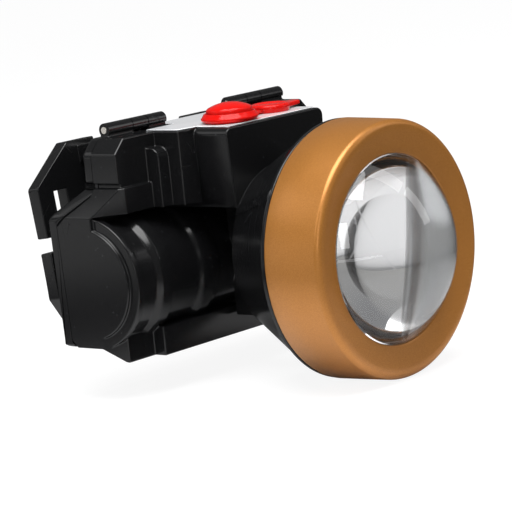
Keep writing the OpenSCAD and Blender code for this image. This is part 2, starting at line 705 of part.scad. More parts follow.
module board_posts() board_screw_places() difference() {
    rod_z(board_top_z, cavity_top_z + bite, post_r);
    rod_z(board_top_z - 1, cavity_top_z - 0.6, board_screw_r + 0.02);
}

module board_screw_places() for (s = board_screw_at)
    translate([s[0], board_front_y + s[1], 0]) children();

module rear_cover() color("#1D1E20") placed() difference() {
    intersection() { outer_body(); behind(cover_t); }
    for (s = cover_screw_at) pair() translate([s[0], cover_y(s[1]), s[1]]) {
        rod_y(-far, far, cover_screw_r + 0.2);
        rod_y(-cover_screw_head_t - 0.1, far, cover_screw_head_r + 0.2);
    }
}

module cover_seal() color("#3A3C3E") placed() seal_track();

module cover_screws() color("#8E9194") placed() for (s = cover_screw_at) pair()
    translate([s[0], cover_y(s[1]) - cover_screw_head_t - 0.1, s[1]]) difference() {
        union() {
            rod_y(0, cover_screw_head_t, cover_screw_head_r);
            rod_y(-min(cover_screw_length, cover_y(s[1]) - wall_y - 5.2), 0.1, cover_screw_r);
        }
        for (a = [0, 90]) rotate([0, a, 0]) translate([-1.4, cover_screw_head_t - 0.8, -0.3])
            cube([2.8, 1, 0.6]);
    }

module hinge_pins() color("#C9CBCE") placed()
    pair() knuckles(barrel_start + 0.4, barrel_end + 0.2, hinge_pin_r);

module top_label() color("#F4F5F6") placed() difference() {
    translate([0, 0, top_z]) linear_extrude(label_t) polygon(concat(
        arc(label_round - label_half, label_front_y + label_round, label_round, 180, 270, 4),
        arc(label_half - label_round, label_front_y + label_round, label_round, 270, 360, 4),
        [[label_half, notch_y + 0.6], [step_half - 1, step_y + label_in],
         [step_half - 1, hinge_y - 3.4], [barrel_start - 0.7, hinge_y - 3.4],
         [barrel_start - 0.7, wing_back_y - 1.2], [-barrel_start + 0.7, wing_back_y - 1.2],
         [-barrel_start + 0.7, hinge_y - 3.4], [-step_half + 1, hinge_y - 3.4],
         [-step_half + 1, step_y + label_in], [-label_half, notch_y + 0.6]]));
    translate([-button_x, button_y, 0]) rod_z(top_z - 1, top_z + 1, stem_r + stem_gap + 0.2);
    translate([port_x, port_y, 0]) rod_z(top_z - 1, top_z + 1, socket_r + 0.3);
    translate([anchor_x, port_y, 0]) rod_z(top_z - 1, top_z + 1, anchor_stem_r + 0.15);
}

// ---- Button ----

module at_button() placed() translate([-button_x, button_y, 0]) children();
module at_port() placed() translate([port_x, port_y, 0]) children();

module button_collar() color("#D8261C") at_button() translate([0, 0, collar_z]) rotate_extrude()
    polygon(concat(
        [[cap_r + cap_gap, 0], [collar_r - 0.9, 0]],
        arc(collar_r - 0.5, collar_brim_z, 0.5, -60, 60, 4),
        [[cap_r + 0.6, collar_h - 0.1], [cap_r + 0.4, collar_h], [cap_r + cap_gap, collar_h]]));

module button_cap() color("#E02C20") at_button() {
    rotate_extrude() polygon(concat(
        [[0, cap_skirt_z], [cap_r, cap_skirt_z], [cap_r, dome_z]],
        [for (i = [1 : 9]) [cap_r * cos(10 * i), dome_z + (cap_rise - 0.2) * sin(10 * i)]]));
    rod_z(plunger_top_z, dome_z, stem_r);
}

module switch_plunger() color("#E6E6E2") at_button() rod_z(board_top_z + 1.4, plunger_top_z, plunger_r);

module power_switch() color("#2A2B2D") at_button() difference() {
    translate([-switch_w / 2, -switch_w / 2, board_top_z]) cube([switch_w, switch_w, switch_h]);
    rod_z(board_top_z + 0.1, switch_top_z + 1, plunger_r + plunger_gap);
}

// ---- Charging port ----

module port_cover() color("#DA281E") at_port() translate([0, 0, collar_z + 0.05]) {
    rotate_extrude() polygon(concat(
        [[0, 0.4], [port_cover_r - 0.8, 0.4], [port_cover_r - 0.8, 0], [port_cover_r - 0.2, 0]],
        arc(port_cover_r - 0.7, port_cover_t - 0.7, 0.7, 0, 90, 4),
        [[port_cover_r - 1.5, port_cover_t - 0.3], [0, port_cover_t - 0.3]]));
    rod_z(-plug_depth, 1, plug_r);
    level(port_tab_z, port_tab_z + 1) polygon([
        [port_cover_r - 1, -2.6], [port_cover_r + port_tab_length - 0.6, -1.5],
        [port_cover_r + port_tab_length, -0.9], [port_cover_r + port_tab_length, 0.9],
        [port_cover_r + port_tab_length - 0.6, 1.5], [port_cover_r - 1, 2.6]]);
    translate([-port_cover_r - 0.05, -tether_w / 2, tether_z - collar_z - 0.5]) cube([1, tether_w, 0.9]);
}

module port_cover_anchor() color("#D0241B") placed() {
    translate([anchor_x, port_y, 0]) {
        rod_z(collar_z, collar_z + anchor_h, anchor_r);
        rod_z(top_z - 1.2, collar_z + bite, anchor_stem_r);
    }
    translate([anchor_x, port_y - tether_w / 2, tether_z - tether_r])
        cube([tether_x - anchor_x, tether_w, 2 * tether_r]);
    translate([tether_x, port_y, tether_z]) rod_y(-tether_w / 2, tether_w / 2, tether_r, $fn = 32);
}

module charge_socket() color("#26272A") at_port() difference() {
    rod_z(board_top_z, top_z + 0.1, socket_r);
    rod_z(board_top_z + socket_base_t, top_z, socket_bore_r);
    rod_z(top_z + 0.1 - socket_mouth_depth, top_z + 1, socket_mouth_r);
}

// ---- Control board ----

module control_board() color("#1F6B3A") placed() difference() {
    translate([-board_w / 2, board_front_y, board_z]) cube([board_w, board_depth, board_t]);
    board_screw_places() rod_z(board_z - 1, board_top_z + 1, board_screw_r + 0.2);
}

module board_parts() color("#35373A") placed() translate([0, board_front_y, 0]) {
    translate([driver_at[0], driver_at[1], board_z - driver_size[2]]) cube(driver_size);
    translate([coil_at[0], coil_at[1], 0]) rod_z(board_top_z, board_top_z + coil_h, coil_r);
    translate([charger_at[0], charger_at[1], board_top_z]) cube(charger_size);
    for (i = [0 : 2]) translate([resistor_at[0] + resistor_pitch * i, resistor_at[1],
        board_z - resistor_size[2]]) cube(resistor_size);
}

module board_screws() color("#9A9DA0") placed() board_screw_places() {
    rod_z(board_z - 1.2, board_z, 1.9);
    rod_z(board_z, board_top_z + 4, board_screw_r);
}

// ---- Battery ----

module at_bay() placed() translate([0, bay_y, tube_z]) children();

module battery_cell() color("#3E6FA8") at_bay() {
    rod_x(cell_x, cell_end_x, cell_r);
    rod_x(cell_end_x, cell_end_x + nub_h, nub_r);
}

module battery_contacts() color("#C5B98E") at_bay()
    for (x = [bay_left_x, bay_right_x - contact_t]) {
        translate([x, -contact_w / 2, -contact_down]) cube([contact_t, contact_w, 2 * contact_down]);
        translate([x, 0.3 - tab_w / 2, 0]) cube([contact_t, tab_w, tab_top_z]);
    }

// A tube swept along a list of points, with flat ends; ref is never along the tube
function tangent(p, i) = unit(p[min(i + 1, len(p) - 1)] - p[max(i - 1, 0)]);
module swept(p, r, sides, ref) {
    points = [for (i = [0 : len(p) - 1]) let (t = tangent(p, i), s = unit(cross(ref, t)), n = cross(t, s))
        for (k = [0 : sides - 1]) let (a = 360 * k / sides) p[i] + r * (cos(a) * s + sin(a) * n)];
    last = (len(p) - 1) * sides;
    polyhedron(points, concat(
        [[for (k = [0 : sides - 1]) k]],
        [for (i = [0 : len(p) - 2]) for (k = [0 : sides - 1]) let (m = (k + 1) % sides)
            [i * sides + k, (i + 1) * sides + k, (i + 1) * sides + m, i * sides + m]],
        [[for (k = [sides - 1 : -1 : 0]) last + k]]));
}

module battery_spring() color("#C9CBCE") at_bay() {
    x0 = bay_left_x + contact_t + spring_wire_r;
    x1 = cell_x - spring_wire_r;
    steps = 12 * spring_turns;
    swept([for (i = [0 : steps])
        let (u = i / steps, a = 360 * spring_turns * u, r = spring_r - spring_narrowing * u)
        [x0 + (x1 - x0) * u, r * cos(a), r * sin(a)]], spring_wire_r, 6, [1, 0, 0]);
}

module led_leads() color("#B8231C") placed()
    for (route = led_lead_routes) swept(route, lead_r, 8, [1, 0, 0]);

module battery_leads() color("#2B2C2E") placed()
    for (route = battery_lead_routes) swept(route, lead_r, 8, [0, 1, 0]);

// ---- Strap bracket ----

// The plate is drawn upright in (x, z) with its front face at y = 0, then leans about the lens axis
module leaning() translate([0, plate_front_y, 0]) rotate([-plate_lean, 0, 0]) children();

module strap_plate() leaning() backwards(0, plate_t) difference() {
    half = plate_w / 2;
    polygon(rounded([
        [-half + corner_in, plate_top_z], [-half, plate_top_z - corner_down],
        [-half, plate_bottom_z + corner_down], [-half + lower_corner_in, plate_bottom_z],
        [half - lower_corner_in, plate_bottom_z], [half, plate_bottom_z + corner_down],
        [half, plate_top_z - corner_down], [half - corner_in, plate_top_z]], corner_round));
    translate([-notch_half, notch_z]) square([2 * notch_half, far]);
    pair() translate([half - outer_bar_w - slot_w, slot_top_z - slot_h]) square([slot_w, slot_h]);
    pair() translate([half - outer_bar_w - 1, bar_gap_z]) square([outer_bar_w + 2, bar_gap_h]);
}

// Arm from the hinge knuckle over the housing's top and down to the plate's upper edge
module bracket_arm() across(knuckle_start, knuckle_start + knuckle_w) polygon([
    [hinge_y, top_z + arm_gap], [hinge_y, hinge_z + 0.6], [wing_back_y + 2.2, hinge_z],
    [wing_back_y + 6.4, plate_top_z - 0.2], [arm_end_y, plate_top_z - 1.8],
    [arm_end_y, plate_top_z - 6.2], [wing_back_y + 6.8, plate_top_z - 3.2],
    [wing_back_y + 2, top_z + arm_gap]]);

module strap_bracket() color("#202124") placed() difference() {
    union() {
        strap_plate();
        pair() bracket_arm();
        pair() knuckles(knuckle_start, knuckle_start + knuckle_w, barrel_r);
    }
    pair() knuckles(knuckle_start - 1, knuckle_start + knuckle_w + 1, hinge_pin_r + pin_gap);
}

bezel_ring();
lens();
lens_seal();
reflector();
led_centring_ring();
led_emitter();
led_board();
led_screws();
heat_sink();
front_housing();
rear_cover();
cover_seal();
cover_screws();
top_label();
button_collar();
button_cap();
switch_plunger();
power_switch();
port_cover();
port_cover_anchor();
charge_socket();
control_board();
board_parts();
board_screws();
battery_cell();
battery_contacts();
battery_spring();
battery_leads();
led_leads();
strap_bracket();
hinge_pins();
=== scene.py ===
# %% [markdown]
# # Dressing a cap lamp
# The lamp is already a complete mechanical model: every piece has its place, and the pieces that
# move have joints. This lesson gives it the looks of the real thing: softened plastic edges, a
# painted bezel, a clear lens over a bright reflector, and glossy red rubber. We begin by loading
# the model as a fixed frame.

# %% Load the frame
import math

import bmesh
import bpy
from mathutils import Matrix, Vector


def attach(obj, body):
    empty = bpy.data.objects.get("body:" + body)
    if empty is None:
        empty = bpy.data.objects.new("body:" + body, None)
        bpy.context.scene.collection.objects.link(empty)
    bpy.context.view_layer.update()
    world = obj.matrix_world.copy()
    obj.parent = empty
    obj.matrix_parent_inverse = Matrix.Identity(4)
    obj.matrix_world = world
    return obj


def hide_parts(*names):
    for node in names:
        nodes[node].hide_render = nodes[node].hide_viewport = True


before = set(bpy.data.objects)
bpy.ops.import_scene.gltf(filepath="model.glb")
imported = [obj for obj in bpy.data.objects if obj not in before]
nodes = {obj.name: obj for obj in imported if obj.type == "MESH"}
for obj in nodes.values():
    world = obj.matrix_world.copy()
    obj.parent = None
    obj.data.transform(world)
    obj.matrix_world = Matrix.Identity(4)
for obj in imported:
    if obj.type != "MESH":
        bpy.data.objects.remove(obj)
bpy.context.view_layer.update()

# %% [markdown]
# ## Units and helpers
# The makers' drawing measures from the lens axis, in millimetres, with y = 0 at the bezel's front
# rim. Blender works in metres from the lamp's base, so one small function carries a point across.
# Operators act on whatever is selected, so a second helper clears the selection before each new
# piece. The rest save repeating the same few lines for smoothing, modifiers and shader nodes.

# %% Units and selection
MM = 0.001
MIDDLE_Y = 35.6704
AXIS_Z = 30.8


def at(x, y, z):
    return Vector((x * MM, (y - MIDDLE_Y) * MM, (z + AXIS_Z) * MM))


def clear_selection():
    if bpy.context.object and bpy.context.object.mode != "OBJECT":
        bpy.ops.object.mode_set(mode="OBJECT")
    bpy.ops.object.select_all(action="DESELECT")


def take(obj):
    clear_selection()
    obj.select_set(True)
    bpy.context.view_layer.objects.active = obj


def smooth(obj, degrees):
    take(obj)
    bpy.ops.object.shade_smooth_by_angle(angle=math.radians(degrees))


def modify(obj, kind, **settings):
    take(obj)
    modifier = obj.modifiers.new(kind.lower(), kind)
    for key, value in settings.items():
        setattr(modifier, key, value)
    bpy.ops.object.modifier_apply(modifier=modifier.name)


print("the lens axis is", at(0, 0, 0).z, "m above the table")


# %% Shader nodes
def wire(tree, *pairs):
    """Joins each pair of sockets, from an output to an input."""
    for start, end in pairs:
        tree.links.new(start, end)


def add(tree, kind, operation=None, **values):
    """Adds a node. A value named i0, i1 and so on is for the input of that number."""
    made = tree.nodes.new(kind)
    if operation:
        made.operation = operation
    for key, value in values.items():
        numbered = key[0] == "i" and key[1:].isdigit()
        made.inputs[int(key[1:]) if numbered else key].default_value = value
    return made


# %% [markdown]
# ## The camera
# A product picture of a small lamp is taken from a little above with a long lens, which keeps its
# shapes true. A camera can be aimed with a constraint, but here its three axes are written down,
# because they fix its roll too.

# %% Camera
camera_data = bpy.data.cameras.new("studio_camera")
camera_data.lens = 192.57
camera_data.sensor_width = 36
camera = bpy.data.objects.new("studio_camera", camera_data)
bpy.context.scene.collection.objects.link(camera)
right = Vector((0.64003, -0.76185, -0.09972))
up = Vector((0.18337, 0.02542, 0.98272))
back = Vector((-0.74615, -0.64725, 0.15597))
stand = Vector((-0.496168, -0.421722, 0.131799))
camera.matrix_world = Matrix((
    (right.x, up.x, back.x, stand.x),
    (right.y, up.y, back.y, stand.y),
    (right.z, up.z, back.z, stand.z),
    (0, 0, 0, 1)))
bpy.context.scene.camera = camera
bpy.context.scene.view_settings.view_transform = "Standard"
print("camera:", round(stand.length, 3), "m from the lamp, lens", round(camera_data.lens), "mm")

# %% [markdown]
# ## The floor
# The floor and the backdrop are one wide pale sheet. A plane is enough, moved in edit mode so that
# its own origin stays under the lamp. Its paint does three jobs. To the camera it glows, so that
# the background comes out white, and its own shading adds the soft shadow. In glossy plastic only
# the paper close to the lamp shows, as it would in a dark room, and the lens sees it dimmed.

# %% Floor
SHEET_SIZE, SHEET_SHIFT = 6, 1.2
clear_selection()
bpy.ops.mesh.primitive_plane_add(size=SHEET_SIZE, location=(0, 0, 0))
sheet = bpy.context.object
sheet.name = "studio_sheet"
bpy.ops.object.mode_set(mode="EDIT")
bpy.ops.mesh.select_all(action="SELECT")
bpy.ops.transform.translate(value=(SHEET_SHIFT, SHEET_SHIFT, 0))
bpy.ops.object.mode_set(mode="OBJECT")

sheet_paint = bpy.data.materials.new("pale_sheet")
sheet_paint.use_nodes = True
paper = sheet_paint.node_tree
sheet_shader = paper.nodes["Principled BSDF"]
sheet_shader.inputs["Base Color"].default_value = (0.80, 0.80, 0.81, 1)
sheet_shader.inputs["Roughness"].default_value = 0.95
sheet_shader.inputs["Specular IOR Level"].default_value = 0.0
sheet.data.materials.append(sheet_paint)
print("floor:", SHEET_SIZE, "m wide")

# %% White to the camera
GLOW, GLOW_SHARE = 1.12, 0.80
path = add(paper, "ShaderNodeLightPath")
glow = add(paper, "ShaderNodeEmission", Strength=GLOW)
share = add(paper, "ShaderNodeMath", "MULTIPLY", i1=GLOW_SHARE)
white_mix = add(paper, "ShaderNodeMixShader")
wire(paper,
     (path.outputs["Is Camera Ray"], share.inputs[0]),
     (share.outputs[0], white_mix.inputs[0]),
     (sheet_shader.outputs[0], white_mix.inputs[1]),
     (glow.outputs[0], white_mix.inputs[2]))
print("the camera sees", round(GLOW * GLOW_SHARE, 3), "of glow and its shading on top")

# %% Dark far off in reflections
FADE_START, FADE_END, FADE_DEPTH = 0.05, 0.15, 0.93
THROUGH_LENS = 0.35
where = add(paper, "ShaderNodeTexCoord")
distance = add(paper, "ShaderNodeVectorMath", "LENGTH")
fade = add(paper, "ShaderNodeMapRange", **{"From Min": FADE_START, "From Max": FADE_END,
                                           "To Max": FADE_DEPTH})
mirrored = add(paper, "ShaderNodeMath", "SUBTRACT")
mirrored.use_clamp = True
dim = add(paper, "ShaderNodeMath", "MULTIPLY")
through = add(paper, "ShaderNodeMath", "MULTIPLY_ADD", i1=THROUGH_LENS)
dark = add(paper, "ShaderNodeEmission", Strength=0.0)
dark_mix = add(paper, "ShaderNodeMixShader")
wire(paper,
     (where.outputs["Object"], distance.inputs[0]),
     (distance.outputs["Value"], fade.inputs["Value"]),
     (path.outputs["Is Glossy Ray"], mirrored.inputs[0]),
     (path.outputs["Is Transmission Ray"], mirrored.inputs[1]),
     (fade.outputs[0], dim.inputs[0]),
     (mirrored.outputs[0], dim.inputs[1]),
     (path.outputs["Is Transmission Ray"], through.inputs[0]),
     (dim.outputs[0], through.inputs[2]),
     (through.outputs[0], dark_mix.inputs[0]),
     (white_mix.outputs[0], dark_mix.inputs[1]),
     (dark.outputs[0], dark_mix.inputs[2]),
     (dark_mix.outputs[0], paper.nodes["Material Output"].inputs["Surface"]))
print("the floor fades from", FADE_START, "to", FADE_END, "m in reflections")

# %% [markdown]
# ## The lights
# Black plastic shows little of its own colour: what we see on it is the lamps' reflections. So the
# lights are broad panels, each placed where some face mirrors it: the top one for all that faces
# up, the camera's and the left one for the rounded edges, two low ones behind for the end of the
# battery tube, and two at the right for the bezel's front. Two cards lie on the floor and light
# the upright faces from below. A wide, weak sun evens it all out. No panel shows through the
# lens, which would turn it into a white blot.


# %% Lights
def light(name, data, place, turn):
    lamp = bpy.data.objects.new(name, data)
    bpy.context.scene.collection.objects.link(lamp)
    lamp.location = place
    lamp.rotation_euler = turn
    return lamp


def panel(name, place, turn, width, height, power):
    data = bpy.data.lights.new(name, "AREA")
    data.shape = "RECTANGLE"
    data.size, data.size_y = width, height
    data.energy = power
    lamp = light(name, data, place, turn)
    lamp.visible_transmission = False
    return lamp


MIDDLE = Vector((0, 0, 0.03))
panels = (("top_panel", (-0.12, -0.10, 0.60), 0.56, 0.44, 4.6),
          ("camera_panel", (-0.62, -0.62, 0.34), 0.14, 0.40, 0.87),
          ("left_panel", (-0.62, 0.10, 0.42), 0.16, 0.30, 0.5),
          ("back_high_panel", (-0.42, 0.55, 0.50), 0.40, 0.30, 0.42),
          ("back_low_panel", (-0.56, 0.48, 0.10), 0.50, 0.22, 0.20),
          ("right_panel", (0.60, -0.55, 0.35), 0.16, 0.40, 0.5),
          ("ring_panel", (0.25, -0.25, 0.60), 0.18, 0.50, 0.40))
for name, place, width, height, power in panels:
    turn = (MIDDLE - Vector(place)).to_track_quat("-Z", "Y").to_euler()
    panel(name, place, turn, width, height, power)

# each card faces up, and its long side lies across the way to the lamp
cards = (("bounce_card", (-0.34, -0.295, 0.003), (0.755, 0.655), 0.56, 0.24, 0.8),
         ("back_card", (-0.27, 0.22, 0.003), (-0.746, 0.647), 0.36, 0.26, 0.22))
for name, place, (along, across), width, height, power in cards:
    turn = (math.pi, 0, math.atan2(across, along) + math.pi / 2)
    panel(name, place, turn, width, height, power).visible_camera = False

sun_data = bpy.data.lights.new("even_light", "SUN")
sun_data.energy = 1.1
sun_data.angle = math.radians(50)
light("even_light", sun_data, (0, 0, 0), (math.radians(10), math.radians(-14), 0))
print("lights:", len(panels), "panels,", len(cards), "cards and a sun")

# %% [markdown]
# ## The room
# The plastic mirrors a dim, even room. The clear lens gathers a wider view than the plastic, so it
# sees pale walls that darken towards the ceiling, and they give it its soft grey shades.

# %% Room light
PLASTIC_ROOM, LENS_ROOM = 0.16, 0.33
world = bpy.data.worlds.new("studio")
bpy.context.scene.world = world
world.use_nodes = True
air = world.node_tree
sky = air.nodes["Background"]
sky.inputs["Color"].default_value = (1, 1, 1, 1)
sky.inputs["Strength"].default_value = PLASTIC_ROOM

room = add(air, "ShaderNodeBackground", Strength=LENS_ROOM)
room_mix = add(air, "ShaderNodeMixShader")
room_path = add(air, "ShaderNodeLightPath")
heading = add(air, "ShaderNodeTexCoord")
height = add(air, "ShaderNodeSeparateXYZ")
walls = add(air, "ShaderNodeValToRGB")
walls.color_ramp.elements[0].color = (1.0, 0.99, 0.97, 1)
walls.color_ramp.elements[1].position = 0.75
walls.color_ramp.elements[1].color = (0.50, 0.51, 0.53, 1)
wire(air,
     (heading.outputs["Generated"], height.inputs[0]),
     (height.outputs["Z"], walls.inputs[0]),
     (walls.outputs[0], room.inputs["Color"]),
     (room_path.outputs["Is Transmission Ray"], room_mix.inputs[0]),
     (sky.outputs[0], room_mix.inputs[1]),
     (room.outputs[0], room_mix.inputs[2]),
     (room_mix.outputs[0], air.nodes["World Output"].inputs["Surface"]))
print("room:", PLASTIC_ROOM, "in the plastic and", LENS_ROOM, "through the lens")

# %% [markdown]
# ## Shared effects
# Moulded plastic, paint and rubber are never quite even. Four small node groups give that
# unevenness, and each material places them with its own values: a gentle waviness, fine specks,
# hairline scratches and the tiny flakes of a metallic paint. A group is built once, so a change to
# it reaches every finish. It gives out only masks, values and heights; the shader itself stays in
# the material.


# %% Group helper and waviness
def group(name, inputs, outputs):
    tree = bpy.data.node_groups.new(name, "ShaderNodeTree")
    tree.interface.new_socket("Vector", in_out="INPUT", socket_type="NodeSocketVector")
    for socket, value in inputs:
        made = tree.interface.new_socket(socket, in_out="INPUT", socket_type="NodeSocketFloat")
        made.default_value = value
    for socket in outputs:
        tree.interface.new_socket(socket, in_out="OUTPUT", socket_type="NodeSocketFloat")
    return tree, tree.nodes.new("NodeGroupInput"), tree.nodes.new("NodeGroupOutput")


waves, wave_in, wave_out = group("moulded_waviness", [("Scale", 60.0)], ["Height"])
noise = add(waves, "ShaderNodeTexNoise", Detail=2.0, Roughness=0.5)
wire(waves,
     (wave_in.outputs["Vector"], noise.inputs["Vector"]),
     (wave_in.outputs["Scale"], noise.inputs["Scale"]),
     (noise.outputs[0], wave_out.inputs["Height"]))
print("group:", waves.name)

# %% Specks
specks, speck_in, speck_out = group("fine_specks", [("Scale", 900.0), ("Amount", 0.3)], ["Mask"])
cells = add(specks, "ShaderNodeTexVoronoi")
patches = add(specks, "ShaderNodeTexNoise", Scale=140.0, Detail=1.0)
near = add(specks, "ShaderNodeMath", "LESS_THAN")
limit = add(specks, "ShaderNodeMath", "MULTIPLY")
wire(specks,
     (speck_in.outputs["Vector"], cells.inputs["Vector"]),
     (speck_in.outputs["Vector"], patches.inputs["Vector"]),
     (speck_in.outputs["Scale"], cells.inputs["Scale"]),
     (patches.outputs[0], limit.inputs[0]),
     (speck_in.outputs["Amount"], limit.inputs[1]),
     (cells.outputs["Distance"], near.inputs[0]),
     (limit.outputs[0], near.inputs[1]),
     (near.outputs[0], speck_out.inputs["Mask"]))
print("group:", specks.name)

# %% Scratches
SCRATCHED_OVER = 0.56
scratches, scratch_in, scratch_out = group(
    "hairline_scratches", [("Scale", 40.0), ("Width", 0.012)], ["Mask"])
bend = add(scratches, "ShaderNodeTexNoise", Scale=30.0, Detail=1.0)
stretch = add(scratches, "ShaderNodeMapping", Rotation=(0.5, 0.9, 0.3), Scale=(1.0, 6.0, 1.0))
lines = add(scratches, "ShaderNodeTexVoronoi")
lines.feature = "DISTANCE_TO_EDGE"
thin = add(scratches, "ShaderNodeMath", "LESS_THAN")
some = add(scratches, "ShaderNodeMath", "GREATER_THAN", i1=SCRATCHED_OVER)
both = add(scratches, "ShaderNodeMath", "MULTIPLY")
wire(scratches,
     (scratch_in.outputs["Vector"], stretch.inputs["Vector"]),
     (scratch_in.outputs["Vector"], bend.inputs["Vector"]),
     (stretch.outputs[0], lines.inputs["Vector"]),
     (scratch_in.outputs["Scale"], lines.inputs["Scale"]),
     (lines.outputs["Distance"], thin.inputs[0]),
     (scratch_in.outputs["Width"], thin.inputs[1]),
     (bend.outputs[0], some.inputs[0]),
     (thin.outputs[0], both.inputs[0]),
     (some.outputs[0], both.inputs[1]),
     (both.outputs[0], scratch_out.inputs["Mask"]))
print("group:", scratches.name)

# %% Paint flakes
flakes, flake_in, flake_out = group("paint_flakes", [("Scale", 6000.0)], ["Value", "Height"])
grain = add(flakes, "ShaderNodeTexVoronoi")
cloud = add(flakes, "ShaderNodeTexNoise", Scale=2500.0, Detail=2.0)
apart = add(flakes, "ShaderNodeSeparateColor")
wire(flakes,
     (flake_in.outputs["Vector"], grain.inputs["Vector"]),
     (flake_in.outputs["Vector"], cloud.inputs["Vector"]),
     (flake_in.outputs["Scale"], grain.inputs["Scale"]),
     (grain.outputs["Color"], apart.inputs[0]),
     (apart.outputs[0], flake_out.inputs["Value"]),
     (cloud.outputs[0], flake_out.inputs["Height"]))
print("groups:", [g.name for g in bpy.data.node_groups])

# %% [markdown]
# ## Materials
# A helper starts each material with its plain values, which go straight on the shader's sockets.
# Then the groups are placed: a value from one drives the roughness or the colour between two ends,
# and a height goes through a Bump node.


# %% Material helpers
def material(name, colour, roughness, **plain):
    made = bpy.data.materials.new(name)
    made.use_nodes = True
    made.diffuse_color = (*colour, 1)
    shader = made.node_tree.nodes["Principled BSDF"]
    shader.inputs["Base Color"].default_value = (*colour, 1)
    shader.inputs["Roughness"].default_value = roughness
    for key, value in plain.items():
        shader.inputs[key.replace("_", " ")].default_value = value
    add(made.node_tree, "ShaderNodeTexCoord").name = "place"
    return made


def effect(made, shared, **values):
    """Places a shared group in a material, on the piece's own coordinates."""
    tree = made.node_tree
    placed = tree.nodes.new("ShaderNodeGroup")
    placed.node_tree = shared
    for key, value in values.items():
        placed.inputs[key].default_value = value
    wire(tree, (tree.nodes["place"].outputs["Object"], placed.inputs["Vector"]))
    return placed


def between(made, mask, socket, low, high):
    """Runs one of the shader's sockets from low to high with a mask."""
    tree = made.node_tree
    target = tree.nodes["Principled BSDF"].inputs[socket]
    if socket == "Base Color":
        mix = add(tree, "ShaderNodeMix")
        mix.data_type = "RGBA"
        mix.inputs["A"].default_value = (*low, 1)
        mix.inputs["B"].default_value = (*high, 1)
        blended = [output for output in mix.outputs if output.type == "RGBA"][0]
        wire(tree, (mask, mix.inputs["Factor"]), (blended, target))
    else:
        span = add(tree, "ShaderNodeMapRange", **{"To Min": low, "To Max": high})
        wire(tree, (mask, span.inputs["Value"]), (span.outputs[0], target))


def bump(made, height, strength, distance):
    tree = made.node_tree
    relief = add(tree, "ShaderNodeBump", Strength=strength, Distance=distance)
    wire(tree, (height, relief.inputs["Height"]),
         (relief.outputs[0], tree.nodes["Principled BSDF"].inputs["Normal"]))


# %% [markdown]
# ## Bronze paint
# The bezel is painted aluminium: a warm bronze with fine flakes in it, under a thin clear coat. A
# fully metallic paint would mirror the studio, so it is half metal and half pigment. The flakes
# change both its colour and its roughness, and they leave the faintest relief.

# %% Bronze paint on the bezel
bronze = material("bronze_paint", (0.44, 0.175, 0.031), 0.36, Metallic=0.5, Coat_Weight=0.2,
                  Coat_Roughness=0.25)
sparkle = effect(bronze, flakes, Scale=9000.0)
between(bronze, sparkle.outputs["Value"], "Base Color",
        (0.385, 0.148, 0.022), (0.495, 0.205, 0.040))
between(bronze, sparkle.outputs["Height"], "Roughness", 0.30, 0.44)
bump(bronze, sparkle.outputs["Height"], 0.10, 0.00004)
print("finish:", bronze.name)

# %% [markdown]
# ## Black plastic
# The housing, its cover and the strap bracket are one glossy black moulding. Its own colour is
# almost nothing, so its look comes from how sharply it mirrors the panels. A broad, shallow
# waviness keeps the flat faces from looking like glass, specks stand for dust, and hairlines dull
# the gloss here and there.

# %% Black plastic of the housing, cover and bracket
BLACK, DUST = (0.0055, 0.0056, 0.006), (0.055, 0.057, 0.06)
black = material("black_plastic", BLACK, 0.20, Specular_IOR_Level=0.34)
black_waves = effect(black, waves, Scale=55.0)
black_specks = effect(black, specks, Scale=520.0, Amount=0.10)
black_hairs = effect(black, scratches, Scale=38.0, Width=0.006)
between(black, black_specks.outputs["Mask"], "Base Color", BLACK, DUST)
between(black, black_hairs.outputs["Mask"], "Roughness", 0.19, 0.42)
bump(black, black_waves.outputs["Height"], 0.10, 0.0006)
print("finish:", black.name)

# %% [markdown]
# ## Red rubber
# The button and the port cover are silicone rubber, soft but shiny. A strong reflection would wash
# the red out to pink, so the specular level and the coat are both low.

# %% Red rubber of the button and the port cover
RED, RED_SPECK = (0.56, 0.006, 0.004), (0.60, 0.015, 0.01)
red = material("red_rubber", RED, 0.16, Specular_IOR_Level=0.14, Coat_Weight=0.05,
               Coat_Roughness=0.05)
red_waves = effect(red, waves, Scale=240.0)
red_specks = effect(red, specks, Scale=700.0, Amount=0.10)
between(red, red_specks.outputs["Mask"], "Base Color", RED, RED_SPECK)
between(red, red_waves.outputs["Height"], "Roughness", 0.10, 0.20)
bump(red, red_waves.outputs["Height"], 0.06, 0.0003)
print("finish:", red.name)

# %% [markdown]
# ## White label
# A thin white plate lies on the top, round the button and the port. It is left bare. A light coat
# gives it the sheen of laminated film.

# %% White label
WHITE, WHITE_SPECK = (0.80, 0.81, 0.83), (0.55, 0.54, 0.52)
label = material("white_label", WHITE, 0.16, Coat_Weight=0.4, Coat_Roughness=0.05)
label_waves = effect(label, waves, Scale=90.0)
label_specks = effect(label, specks, Scale=420.0, Amount=0.09)
between(label, label_specks.outputs["Mask"], "Base Color", WHITE, WHITE_SPECK)
between(label, label_waves.outputs["Height"], "Roughness", 0.12, 0.22)
bump(label, label_waves.outputs["Height"], 0.05, 0.0004)
print("finish:", label.name)

# %% [markdown]
# ## Clear lens and bright reflector
# The lens is solid clear acrylic, so it bends what is behind it: the whole bowl of the reflector
# seems to fill it. Transmission with the real index does that by itself. The reflector is bright
# metal film on plastic, a little rippled, and so a little soft.

